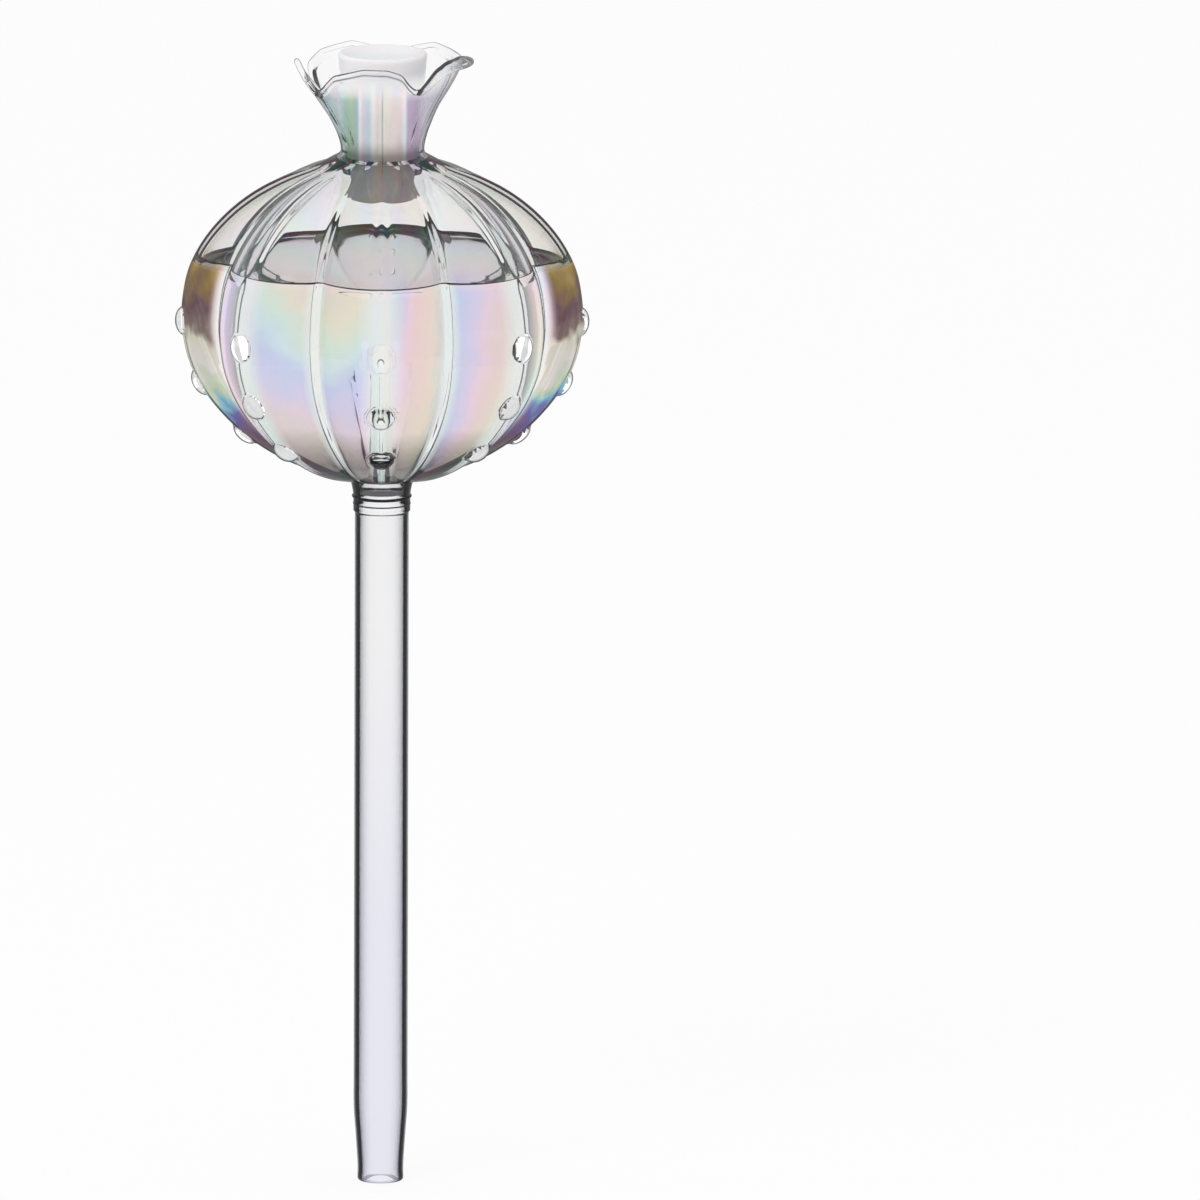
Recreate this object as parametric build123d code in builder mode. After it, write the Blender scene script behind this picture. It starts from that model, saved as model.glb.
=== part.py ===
from build123d import *
import os
from math import cos, hypot, radians, sin, sqrt

# A plant watering globe of blown glass, in millimetres. It stands here as it does in
# use, with its drawn-out stem down, and the tip of the stem is the origin. The bulb is
# blown into a ribbed mould, so its wall bulges out in eight lobes that meet in creases.
# A thin trail of glass is laid down the crest of each lobe, with three pressed drops on
# it. The mouth is flared hot into five petals, and a silicone stopper closes its throat.

# Stem, a straight glass tube with a drawn and fire-polished tip
stem_length = 158.3
stem_diameter = 12.2
stem_wall = 1.2
tip_length = 17.0
tip_diameter = 10.4
tip_wall = 1.15
tip_taper_length = 12.0

# Collar, the neck of the bulb: its socket takes the end of the stem, which is necked down
# to fit, and the flame that fuses them leaves two beads of molten glass round it
collar_height = 7.5
collar_diameter = 14.5
sleeve_diameter = 13.0
socket_depth = 3.5
socket_clearance = 0.05
seat_diameter = 11.6
seat_shoulder = 0.4
collar_bead_radius = 0.3
collar_bead_height_shares = (0.24, 0.46)

# Bulb
globe_radius = 44.9
globe_height = 74.1
globe_wall = 1.6
lobe_count = 8
front_turn = -90.0
valley_depth = 6.3
globe_foot_radius = 7.4
globe_top_radius = 11.0

# The crest of a lobe, from the collar up: radius as a share of globe_radius, height as
# a share of globe_height, and how deep the crease is there, as a share of valley_depth
crest_shares = (
    (0.267, 0.012, 0.16),
    (0.390, 0.035, 0.42),
    (0.596, 0.097, 0.76),
    (0.813, 0.213, 0.97),
    (0.948, 0.341, 1.00),
    (1.000, 0.490, 1.00),
    (0.967, 0.650, 0.96),
    (0.845, 0.777, 0.79),
    (0.655, 0.881, 0.50),
    (0.423, 0.952, 0.21),
)

# Trail of glass on each crest
trail_radius = 2.4
trail_relief = 0.8
# Where its sections lie along the crest line, and how full the trail is there
trail_shares = (
    (0.045, 0.55),
    (0.120, 0.90),
    (0.260, 1.00),
    (0.400, 1.00),
    (0.540, 1.00),
    (0.680, 1.00),
    (0.820, 0.93),
    (0.985, 0.50),
)

# Three pressed drops on each trail, at shares of the crest line
drop_shares = (0.233, 0.372, 0.505)
drop_length = 6.6
drop_width = 5.7
drop_relief = 1.3

# Flower mouth, with five petals
mouth_height = 24.0
mouth_foot_radius = 10.9
throat_diameter = 19.0
throat_height = 2.2
throat_bore_diameter = 16.8
throat_stock = 0.1
petal_count = 5
petal_turn = -96.0
petal_rim_radius = 19.9
petal_wall = 1.1
rim_wall = 0.9
fold_rim_radius = 15.9
fold_drop = 6.6
fold_sharpness = 1.6
petal_sections = 5
# The flare of a petal and of a fold: shares of the way out and of the way up
petal_flare_shares = ((0.20, 0.28), (0.38, 0.45), (0.64, 0.60), (0.84, 0.78), (1.00, 1.00))
fold_flare_shares = ((0.17, 0.24), (0.34, 0.44), (0.60, 0.67), (0.82, 0.86), (1.00, 1.00))

# Silicone stopper, a taper plug with a dished top
stopper_top_radius = 10.1
stopper_height = 34.0
throat_clearance = 0.25
stopper_lip = 1.4
stopper_dish_depth = 1.6
stopper_edge = 0.5

# Places along the axis, worked out from the sizes above
stem_bore_radius = stem_diameter / 2 - stem_wall
collar_base = stem_length - socket_depth
globe_base = collar_base + collar_height
seam_height = globe_base + globe_height
mouth_top = seam_height + mouth_height
throat_top = seam_height + throat_height
bore_stock_radius = throat_bore_diameter / 2 - throat_stock
lobe_angle = 360 / lobe_count
petal_angle = 360 / petal_count

os.makedirs("parts", exist_ok=True)


def save(part, name):
    """Label one finished piece, write it and print its size."""
    part.label = name
    export_step(part, "parts/" + name + ".step")
    print(name, "solids", len(part.solids()), "volume", round(part.volume, 1))


def polar(radius, angle):
    """A point in the plane of a section, by radius and angle in degrees."""
    return (radius * cos(radians(angle)), radius * sin(radians(angle)))


def crest_stations():
    """Crest radius, height and crease depth of every section of the bulb."""
    stations = [(globe_foot_radius, globe_base, 0.0)]
    for radius_share, height_share, depth_share in crest_shares:
        radius = globe_radius * radius_share
        height = globe_base + globe_height * height_share
        stations.append((radius, height, valley_depth * depth_share))
    stations.append((globe_top_radius, seam_height, 0.0))
    return stations


def outward(stations, index):
    """The outward normal of the crest line at a station, as (radial, axial)."""
    before = stations[max(index - 1, 0)]
    after = stations[min(index + 1, len(stations) - 1)]
    run = after[0] - before[0]
    rise = after[1] - before[1]
    length = hypot(run, rise)
    return rise / length, -run / length


def inner_station(stations, index):
    """A station of the cavity: the outer one moved in by the wall, square to it."""
    crest, height, depth = stations[index]
    radial, axial = outward(stations, index)
    wall_across = globe_wall * radial
    half = radians(lobe_angle / 2)
    valley = crest - depth
    chord = valley * cos(half)
    reach = valley * sin(half)
    bulge = crest - chord
    arc_radius = (reach**2 + bulge**2) / (2 * bulge)
    centre = crest - arc_radius
    inner_arc = arc_radius - wall_across
    inner_valley = centre * cos(half) + sqrt(inner_arc**2 - (centre * sin(half)) ** 2)
    return crest - wall_across, height - globe_wall * axial, inner_valley


def rim_crown(outer_edge, inner_edge):
    """The top of the rounded rim, half a wall above the middle of its two edges."""
    half_run = (outer_edge[0] - inner_edge[0]) / 2
    half_rise = (outer_edge[1] - inner_edge[1]) / 2
    return inner_edge[0] + half_run - half_rise, inner_edge[1] + half_rise + half_run


def lobed_outline(crest, valley):
    """Eight arcs that bulge to the crest radius and meet at the valley radius."""
    for lobe in range(lobe_count):
        middle = lobe * lobe_angle
        ThreePointArc(
            polar(valley, middle - lobe_angle / 2),
            polar(crest, middle),
            polar(valley, middle + lobe_angle / 2),
        )


stations = crest_stations()

# Bulb: the outer form is lofted through lobed sections, from the foot to the top
with BuildPart() as globe_form:
    for crest, height, depth in stations:
        with BuildSketch(Plane.XY.offset(height)):
            with BuildLine():
                lobed_outline(crest, crest - depth)
            make_face()
    loft()

# The cavity is lofted the same way, one wall further in
with BuildPart() as globe_cavity:
    for index in range(1, len(stations) - 1):
        crest, height, valley = inner_station(stations, index)
        with BuildSketch(Plane.XY.offset(height)):
            with BuildLine():
                lobed_outline(crest, valley)
            make_face()
    loft()

with BuildPart() as globe_bulb:
    add(globe_form.part)
    add(globe_cavity.part, mode=Mode.SUBTRACT)
    with BuildSketch(Plane.XY.offset(globe_base)):
        Circle(stem_bore_radius)
    extrude(amount=globe_height / 2, mode=Mode.SUBTRACT)
    with BuildSketch(Plane.XY.offset(seam_height)):
        Circle(throat_bore_diameter / 2)
    extrude(amount=-globe_height / 2, mode=Mode.SUBTRACT)
save(globe_bulb.part, "globe_bulb")

# The crest line of the lobe that faces +X carries a trail and its drops
with BuildLine(Plane.XZ) as crest_line:
    Spline(*[(crest, height) for crest, height, depth in stations])
crest_edge = crest_line.edges()[0]


def crest_plane(share, sink):
    """A plane square to the crest line at a share of it, sunk below the glass."""
    along = crest_edge % share
    outwards = Vector(along.Z, 0, -along.X)
    origin = crest_edge @ share - outwards * sink
    return Plane(origin=origin, x_dir=(0, 1, 0), z_dir=along)


# Trail: lofted through circles that shrink towards both ends, and cut to seat on the bulb
with BuildPart() as trail:
    for place, swell in trail_shares:
        radius = trail_radius * swell
        with BuildSketch(crest_plane(place, radius - trail_relief * swell)):
            Circle(radius)
    loft()
    add(globe_form.part, mode=Mode.SUBTRACT)

# Drops: each is an ellipse turned about its long axis, cut to seat on trail and bulb
with BuildPart() as drops:
    for place in drop_shares:
        seat = crest_plane(place, drop_width / 2 - drop_relief - trail_relief)
        upright = Plane(origin=seat.origin, x_dir=seat.z_dir, z_dir=seat.y_dir)
        with BuildSketch(upright):
            with BuildLine():
                EllipticalCenterArc((0, 0), drop_length / 2, drop_width / 2, 0, arc_size=180)
                Line((-drop_length / 2, 0), (drop_length / 2, 0))
            make_face()
        revolve(axis=Axis(seat.origin, seat.z_dir))
    add(globe_form.part, mode=Mode.SUBTRACT)
    add(trail.part, mode=Mode.SUBTRACT)

for lobe in range(lobe_count):
    turn = front_turn + lobe * lobe_angle
    with BuildPart() as spine_trail:
        add(trail.part, rotation=(0, 0, turn))
    save(spine_trail.part, f"spine_trail_{lobe + 1}")
    with BuildPart() as spine_drops:
        add(drops.part, rotation=(0, 0, turn))
    save(spine_drops.part, f"spine_drops_{lobe + 1}")


def fold_share(angle):
    """Nought at the middle of a petal and one in the fold between two petals."""
    return ((1 - cos(radians(petal_count * angle))) / 2) ** fold_sharpness


def petal_profile(angle):
    """Outer and inner points of the mouth's wall, as (radius, height), at an angle."""
    fold = fold_share(angle)
    reach = petal_rim_radius + (fold_rim_radius - petal_rim_radius) * fold
    reach -= throat_diameter / 2
    rise = mouth_top - fold_drop * fold - throat_top
    outer = [(mouth_foot_radius, seam_height), (throat_diameter / 2, throat_top)]
    for petal_share, crease_share in zip(petal_flare_shares, fold_flare_shares):
        out_share = petal_share[0] + (crease_share[0] - petal_share[0]) * fold
        up_share = petal_share[1] + (crease_share[1] - petal_share[1]) * fold
        radius = throat_diameter / 2 + reach * out_share
        outer.append((radius, throat_top + rise * up_share))
    inner = [(bore_stock_radius, seam_height), (bore_stock_radius, throat_top)]
    for index in range(2, len(outer)):
        radial, axial = outward(outer, index)
        thinning = (index - 1) / (len(outer) - 2)
        wall = petal_wall + (rim_wall - petal_wall) * thinning
        radius, height = outer[index]
        inner.append((radius - wall * radial, height - wall * axial))
    return outer, inner


# Petal: lofted round the axis, from fold to fold, through profiles of the mouth's wall
with BuildPart() as petal:
    for index in range(petal_sections):
        angle = petal_angle * (index / (petal_sections - 1) - 1 / 2)
        outer, inner = petal_profile(angle)
        crown = rim_crown(outer[-1], inner[-1])
        with BuildSketch(Plane.XZ.rotated((0, 0, angle))):
            with BuildLine():
                Spline(*outer)
                ThreePointArc(outer[-1], crown, inner[-1])
                Spline(*reversed(inner))
                Line(inner[0], outer[0])
            make_face()
    loft()

# Flower mouth: five petals meet in the folds, and the throat is bored out last
with BuildPart() as flower_mouth:
    with PolarLocations((0, 0), petal_count, start_angle=petal_turn):
        add(petal.part)
    with BuildSketch(Plane.XY.offset(seam_height)):
        Circle(throat_bore_diameter / 2)
    extrude(amount=throat_height * 2, mode=Mode.SUBTRACT)
save(flower_mouth.part, "flower_mouth")

# Stem: a tube with its upper end necked down to seat in the collar, and its tip drawn
# thinner and rounded in the flame
stem_radius = stem_diameter / 2
seat_radius = seat_diameter / 2
tip_radius = tip_diameter / 2
taper_end = tip_length - tip_taper_length
with BuildPart() as stem_tube:
    with BuildSketch(Plane.XZ):
        with BuildLine():
            Line((stem_bore_radius, stem_length), (seat_radius, stem_length))
            Line((seat_radius, stem_length), (seat_radius, collar_base))
            Line((seat_radius, collar_base), (stem_radius, collar_base - seat_shoulder))
            Line((stem_radius, collar_base - seat_shoulder), (stem_radius, tip_length))
            Spline(
                (stem_radius, tip_length),
                (tip_radius, taper_end),
                tangents=((0, -1), (0, -1)),
            )
            Line((tip_radius, taper_end), (tip_radius, tip_wall / 2))
            ThreePointArc(
                (tip_radius, tip_wall / 2),
                (tip_radius - tip_wall / 2, 0),
                (tip_radius - tip_wall, tip_wall / 2),
            )
            Line((tip_radius - tip_wall, tip_wall / 2), (tip_radius - tip_wall, taper_end))
            Spline(
                (tip_radius - tip_wall, taper_end),
                (stem_bore_radius, tip_length),
                tangents=((0, 1), (0, 1)),
            )
            Line((stem_bore_radius, tip_length), (stem_bore_radius, stem_length))
        make_face()
    revolve(axis=Axis.Z)
save(stem_tube.part, "stem_tube")

# Collar: its socket holds the top of the stem, whose end seats on the shoulder inside
collar_radius = collar_diameter / 2
sleeve_radius = sleeve_diameter / 2
socket_radius = seat_radius + socket_clearance
with BuildPart() as stem_collar:
    with BuildSketch(Plane.XZ):
        with BuildLine():
            Line((socket_radius, collar_base), (sleeve_radius, collar_base))
            Line((sleeve_radius, collar_base), (sleeve_radius, stem_length))
            Spline(
                (sleeve_radius, stem_length),
                (collar_radius, globe_base),
                tangents=((0, 1), (0, 1)),
            )
            Line((collar_radius, globe_base), (stem_bore_radius, globe_base))
            Line((stem_bore_radius, globe_base), (stem_bore_radius, stem_length))
            Line((stem_bore_radius, stem_length), (socket_radius, stem_length))
            Line((socket_radius, stem_length), (socket_radius, collar_base))
        make_face()
        for bead_share in collar_bead_height_shares:
            with Locations((sleeve_radius, collar_base + collar_height * bead_share)):
                Circle(collar_bead_radius)
    revolve(axis=Axis.Z)
save(stem_collar.part, "stem_collar")

# Stopper: its taper comes from its top and from the throat that it closes
stopper_top = mouth_top
stopper_base = stopper_top - stopper_height
stopper_throat_radius = throat_bore_diameter / 2 - throat_clearance
stopper_taper = (stopper_top_radius - stopper_throat_radius) / (stopper_top - throat_top)
stopper_base_radius = stopper_top_radius - stopper_taper * stopper_height
dish_radius = stopper_top_radius - stopper_lip
dish_arc = (dish_radius**2 + stopper_dish_depth**2) / (2 * stopper_dish_depth)
with BuildPart() as stopper:
    with BuildSketch(Plane.XZ):
        with BuildLine():
            Line((0, stopper_base), (stopper_base_radius, stopper_base))
            Line((stopper_base_radius, stopper_base), (stopper_top_radius, stopper_top))
            Line((stopper_top_radius, stopper_top), (dish_radius, stopper_top))
            RadiusArc((dish_radius, stopper_top), (0, stopper_top - stopper_dish_depth), dish_arc)
            Line((0, stopper_top - stopper_dish_depth), (0, stopper_base))
        make_face()
    revolve(axis=Axis.Z)
    rims = stopper.edges().filter_by(GeomType.CIRCLE).group_by(Axis.Z)
    fillet(rims[0] + rims[-1], stopper_edge)
save(stopper.part, "stopper")
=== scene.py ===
# %% [markdown]
# # A watering globe in blown glass
#
# The real object is a glass bulb on a long glass stem. It is filled through its flower
# mouth, closed with a silicone stopper, and pushed stem first into a flower pot. Nearly
# everything a viewer sees here is refraction, so the lesson is mostly about walls: glass
# looks like glass only when it has an outer face, an inner face and the right thickness.

# %% Load the frame
import math

import bpy
import numpy as np
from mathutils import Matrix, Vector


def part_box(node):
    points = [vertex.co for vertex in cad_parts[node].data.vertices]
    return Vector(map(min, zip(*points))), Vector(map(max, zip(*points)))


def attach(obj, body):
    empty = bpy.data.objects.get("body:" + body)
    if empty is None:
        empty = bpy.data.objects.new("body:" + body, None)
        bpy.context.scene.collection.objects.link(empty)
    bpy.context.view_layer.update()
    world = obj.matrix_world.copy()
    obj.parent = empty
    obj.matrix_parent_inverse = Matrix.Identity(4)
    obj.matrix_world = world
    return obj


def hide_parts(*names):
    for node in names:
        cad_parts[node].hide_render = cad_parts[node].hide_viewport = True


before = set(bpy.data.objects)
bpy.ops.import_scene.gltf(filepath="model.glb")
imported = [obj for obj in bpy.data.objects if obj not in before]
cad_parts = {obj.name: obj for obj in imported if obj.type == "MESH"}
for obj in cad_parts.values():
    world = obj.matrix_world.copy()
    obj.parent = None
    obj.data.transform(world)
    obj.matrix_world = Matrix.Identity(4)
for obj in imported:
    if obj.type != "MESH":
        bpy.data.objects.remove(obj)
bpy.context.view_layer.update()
MM = 0.001

# %% [markdown]
# ## Sizes
#
# The pieces that are modelled here stand exactly where the CAD frame has them, so their
# sizes are read from its boxes. Copying the numbers by hand would work too, but then the
# two models could drift apart. Only what the boxes can't tell is written down: walls, the
# depth of the creases and the shape of the crest line.

# %% Read the sizes from the frame
bulb_low, bulb_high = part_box("globe_bulb")
collar_low, collar_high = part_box("stem_collar")
stem_low, stem_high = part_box("stem_tube")
stopper_low, stopper_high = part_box("stopper")

GLOBE_RADIUS = bulb_high[0]
GLOBE_BASE = bulb_low[2]
GLOBE_HEIGHT = bulb_high[2] - bulb_low[2]
SEAM = bulb_high[2]
GLOBE_WALL = 1.5 * MM
GLOBE_FOOT = 7.4 * MM
GLOBE_TOP = 11.0 * MM
STEM_RADIUS = stem_high[0]
STEM_WALL = 1.2 * MM
STEM_BORE = STEM_RADIUS - STEM_WALL
LOBES = 8
CREASE_DEPTH = 6.3 * MM
print("globe", round(GLOBE_RADIUS / MM, 1), "mm, seam at", round(SEAM / MM, 1), "mm")

# %% [markdown]
# ## Camera
#
# The photograph was taken from far away and a little above. The stopper's top gives the
# angle: it is a fifth as high as it is wide, as a level circle is when it is seen from
# 11.5 degrees above. The globe stands left of the middle of the picture. Turning the
# camera would show it from its side, so the camera is moved sideways instead.

# %% Place the camera
PHOTO_SIZE = 1200
AXIS_PIXEL = 381.6
TIP_PIXEL = 1181.0
MM_PER_PIXEL = 0.2264
CAMERA_DISTANCE = 12.0
CAMERA_ELEVATION = math.radians(11.5)
CAMERA_ROLL = math.radians(0.17)
SENSOR_WIDTH = 36

frame_width = PHOTO_SIZE * MM_PER_PIXEL * MM
aim_right = (PHOTO_SIZE / 2 - AXIS_PIXEL) * MM_PER_PIXEL * MM
aim_up = (TIP_PIXEL - PHOTO_SIZE / 2) * MM_PER_PIXEL * MM / math.cos(CAMERA_ELEVATION)

camera_data = bpy.data.cameras.new("camera")
camera_data.sensor_width = SENSOR_WIDTH
camera_data.lens = SENSOR_WIDTH * CAMERA_DISTANCE / frame_width
camera_data.clip_end = 4 * CAMERA_DISTANCE
camera = bpy.data.objects.new("camera", camera_data)
bpy.context.scene.collection.objects.link(camera)
camera.location = (
    aim_right,
    -CAMERA_DISTANCE * math.cos(CAMERA_ELEVATION),
    aim_up + CAMERA_DISTANCE * math.sin(CAMERA_ELEVATION),
)
camera.rotation_mode = "ZYX"
camera.rotation_euler = (math.pi / 2 - CAMERA_ELEVATION, 0, CAMERA_ROLL)
bpy.context.scene.camera = camera
print("lens", round(camera_data.lens), "mm")

# %% [markdown]
# ## Helpers
#
# Every glass piece is a grid of points wrapped round the stem's axis. Modifiers such as
# Screw and Solidify make such shapes too, but a lobed wall with laid-on drops needs its
# points placed one by one. One function turns a grid into a mesh, closed both ways like a
# tyre, which gives a wall two faces. Its faces look outwards: glass with its faces turned
# inwards would bend light as an air bubble does.

# %% Smooth a line of points
STEPS_PER_SPAN = 24


def smooth_line(points, count):
    """A smooth line through a few points, sampled at even steps along its length."""
    points = np.array(points, float)
    ends = np.vstack([2 * points[0] - points[1], points, 2 * points[-1] - points[-2]])
    fine = []
    for i in range(1, len(ends) - 2):
        p0, p1, p2, p3 = ends[i - 1 : i + 3]
        for t in np.linspace(0, 1, STEPS_PER_SPAN, endpoint=False):
            fine.append(
                0.5
                * (
                    2 * p1
                    + (p2 - p0) * t
                    + (2 * p0 - 5 * p1 + 4 * p2 - p3) * t**2
                    + (3 * p1 - p0 - 3 * p2 + p3) * t**3
                )
            )
    fine = np.array(fine + [points[-1]])
    run = np.r_[0, np.cumsum(np.hypot(np.diff(fine[:, 0]), np.diff(fine[:, 1])))]
    even = np.linspace(0, run[-1], count)
    return np.stack([np.interp(even, run, fine[:, k]) for k in range(fine.shape[1])], 1)


def line_normals(line):
    """The direction to the right of a line in the half plane of radius and height."""
    along = np.gradient(line[:, :2], axis=0)
    along /= np.linalg.norm(along, axis=1)[:, None]
    return np.stack([along[:, 1], -along[:, 0]], 1)


# %% Turn a grid of points into a mesh


def grid_piece(name, points, loop_rows=True):
    """A mesh from rows of points round the axis. Its rows close too, unless told not to."""
    rows, columns = points.shape[:2]
    index = np.arange(rows * columns).reshape(rows, columns)
    here = index if loop_rows else index[:-1]
    above = np.roll(index, -1, 0) if loop_rows else index[1:]
    faces = np.stack([here, np.roll(here, -1, 1), np.roll(above, -1, 1), above], 2)
    faces = faces.reshape(-1, 4).tolist()
    if not loop_rows:
        faces.append(index[0][::-1].tolist())
        faces.append(index[-1].tolist())
    corners = points.reshape(-1, 3)
    quads = corners[np.array(faces[: rows * columns - columns])]
    volume = (np.cross(quads[:, 0], quads[:, 1]) * quads[:, 2]).sum()
    volume += (np.cross(quads[:, 0], quads[:, 2]) * quads[:, 3]).sum()
    if volume < 0:
        faces = [face[::-1] for face in faces]
    mesh = bpy.data.meshes.new(name)
    mesh.from_pydata(corners.tolist(), [], faces)
    mesh.validate()
    mesh.shade_smooth()
    piece = bpy.data.objects.new(name, mesh)
    bpy.context.scene.collection.objects.link(piece)
    print(name, len(mesh.polygons), "faces, normals turned" if volume < 0 else "faces")
    return piece


TURNED_COLUMNS = 128
TURNED_ROWS = 120


def turned(line, columns=TURNED_COLUMNS):
    """The grid of a shape turned on the axis, from its line of radius and height."""
    angles = np.arange(columns) * 2 * math.pi / columns
    radius = line[:, 0][:, None]
    height = np.broadcast_to(line[:, 1][:, None], (len(line), columns))
    return np.stack([radius * np.cos(angles), radius * np.sin(angles), height], 2)


# %% [markdown]
# ## The bulb
#
# A bulb like this is blown into a mould with eight hollows. Its wall swells into each
# hollow and stays behind at the ribs between them, so a cut across it is eight round
# arcs that meet in creases. Hot glass never holds a sharp crease, so the arcs are eased
# into each other over about a millimetre. Pushing a ball in with a wave would be quicker,
# but a wave has round valleys where blown glass has narrow ones.

# %% The crest line
# Shares of the globe's radius, of its height and of the crease's depth, from foot to seam
CREST_SHARES = (
    (0.267, 0.012, 0.16),
    (0.390, 0.035, 0.42),
    (0.546, 0.080, 0.70),
    (0.690, 0.140, 0.88),
    (0.813, 0.213, 0.97),
    (0.909, 0.293, 1.00),
    (0.973, 0.382, 1.00),
    (1.000, 0.475, 1.00),
    (0.999, 0.553, 1.00),
    (0.967, 0.650, 0.96),
    (0.893, 0.738, 0.86),
    (0.786, 0.816, 0.70),
    (0.655, 0.881, 0.50),
    (0.503, 0.932, 0.30),
    (0.343, 0.970, 0.12),
)
crest_points = [(GLOBE_FOOT, GLOBE_BASE, 0.0)]
for radius_share, height_share, depth_share in CREST_SHARES:
    crest_points.append(
        (
            GLOBE_RADIUS * radius_share,
            GLOBE_BASE + GLOBE_HEIGHT * height_share,
            CREASE_DEPTH * depth_share,
        )
    )
crest_points.append((GLOBE_TOP, SEAM, 0.0))
print("the crest line has", len(crest_points), "points")

# %% The lobes
CREASE_EASE = 0.25 * MM
CREASE_HALF_WIDTH = math.radians(1.5)
HALF_LOBE = math.pi / LOBES
# How much closer together the columns stand at a crest and in a crease
CROWDING = 0.26


def lobe_offsets(per_lobe=56):
    """Angles round the axis, closer together at each crest and in each crease."""
    even = np.linspace(-1, 1, per_lobe, endpoint=False)
    offset = HALF_LOBE * (even - CROWDING * np.sin(2 * math.pi * even) / math.pi)
    crests = np.arange(LOBES) * 2 * HALF_LOBE - math.pi / 2
    return (crests[:, None] + offset).ravel(), np.tile(offset, LOBES)


def lobed_radius(crest, valley, offset, wall=0.0):
    """Distance from the axis of the arc through a crest and its two creases."""
    chord = valley * math.cos(HALF_LOBE)
    reach = valley * math.sin(HALF_LOBE)
    bulge = crest - chord
    arc = (reach**2 + bulge**2) / (2 * bulge)
    centre = crest - arc
    beyond = HALF_LOBE - np.abs(offset) - CREASE_HALF_WIDTH
    ease = CREASE_EASE / crest
    to_crease = (beyond + np.sqrt(beyond**2 + ease**2)) / 2 + CREASE_HALF_WIDTH
    angle = np.clip(HALF_LOBE - to_crease, 0, None)
    return centre * np.cos(angle) + np.sqrt((arc - wall) ** 2 - (centre * np.sin(angle)) ** 2)


# %% [markdown]
# ## Trails and drops
#
# A thread of glass is laid down each crest while bulb and thread are hot, and three drops
# are pressed on it. They melt into the bulb, and no face is left between them. They are
# therefore a height added to the outer face, not separate solids: two faces of glass in
# one place would show as a dark skin.

# %% Trails and drops as a height over the outer face
TRAIL_START = 0.02
TRAIL_GROWS_OVER = 0.10
TRAIL_END = 1.01
TRAIL_FADES_OVER = 0.16
TRAIL_RELIEF = 0.35 * MM
TRAIL_HALF_WIDTH = 2.4 * MM
DROP_SHARES = (0.233, 0.372, 0.505)
DROP_LENGTH = 6.6 * MM
DROP_WIDTH = 5.7 * MM
DROP_RELIEF = 1.5 * MM
DROP_ROUNDNESS = 0.55


def applied_glass(share, length, crest, offset):
    """Height of trail and drops over the bulb, at a share of the crest line."""
    across = crest * offset
    grown = (share - TRAIL_START) / TRAIL_GROWS_OVER
    left = (TRAIL_END - share) / TRAIL_FADES_OVER
    swell = np.clip(np.minimum(grown, left), 0, 1)
    half_width = TRAIL_HALF_WIDTH * max(swell, 0.05) ** 0.5
    height = TRAIL_RELIEF * swell * np.clip(1 - (across / half_width) ** 2, 0, 1) ** 2
    for place in DROP_SHARES:
        along = (share - place) * length
        round_off = 1 - (along / (DROP_LENGTH / 2)) ** 2 - (across / (DROP_WIDTH / 2)) ** 2
        drop = (DROP_RELIEF + TRAIL_RELIEF) * np.clip(round_off, 0, 1) ** DROP_ROUNDNESS
        height = np.maximum(height, drop)
    return height


print(LOBES, "trails with", len(DROP_SHARES), "drops each")

# %% Rows of points of the bulb's two faces
OUTER_ROWS = 220
INNER_ROWS = 70
thetas, offsets = lobe_offsets()
outer_line = smooth_line(crest_points, OUTER_ROWS)
crest_length = np.hypot(*np.diff(outer_line[:, :2], axis=0).T).sum()


def bulb_rows(line, wall, with_trails):
    """Rows of points of one face of the bulb."""
    normals = line_normals(line)
    rows = []
    for i, (crest, height, depth) in enumerate(line):
        out, up = normals[i]
        radius = lobed_radius(crest, crest - depth, offsets, wall * out)
        lift = -wall * up
        relief = 0.0
        if with_trails:
            relief = applied_glass(i / (len(line) - 1), crest_length, crest, offsets)
        radius = radius + relief * out
        level = height + lift + relief * up
        level = np.broadcast_to(level, radius.shape)
        rows.append(np.stack([radius * np.cos(thetas), radius * np.sin(thetas), level], 1))
    return np.array(rows)


outer_rows = bulb_rows(outer_line, 0.0, True)
inner_line = smooth_line(crest_points[1:-1], INNER_ROWS)
inner_rows = bulb_rows(inner_line, GLOBE_WALL, False)


def ring(radius, height):
    """One row of points on a circle, at the bulb's own angles."""
    level = np.full(len(thetas), height)
    return np.stack([radius * np.cos(thetas), radius * np.sin(thetas), level], 1)[None]


THROAT_BORE = 8.4 * MM
# The bulb's inner face runs from the throat down into the bore of the stem
inner_end = np.vstack(
    [
        ring(THROAT_BORE, SEAM),
        inner_rows[::-1],
        ring(STEM_BORE, inner_rows[0][:, 2].mean() - 0.3 * MM),
        ring(STEM_BORE, GLOBE_BASE),
    ]
)
print("bulb", len(outer_rows), "outer rows and", len(inner_end), "inner rows")

# %% [markdown]
# ## The flower mouth
#
# The neck is heated and flared, and then five folds are pulled down and in with a tool,
# so the rim waves: it is high and wide on a petal, low and narrow in a fold. The wall
# follows that in both directions. A wave of one formula would give five petals alike,
# which no hand-made flower has, so every petal and every fold has its own place.

# %% Sizes of the mouth
THROAT_RADIUS = 9.3 * MM
THROAT_HEIGHT = 2.2 * MM
MOUTH_FOOT = 10.9 * MM
MOUTH_WALL = 1.0 * MM
LIP_RADIUS = 1.25 * MM
RIM_BEAD = 0.64 * MM
LIP_RISE = 1.4 * MM
print("throat", round(2 * THROAT_RADIUS / MM, 1), "mm across")

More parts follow.
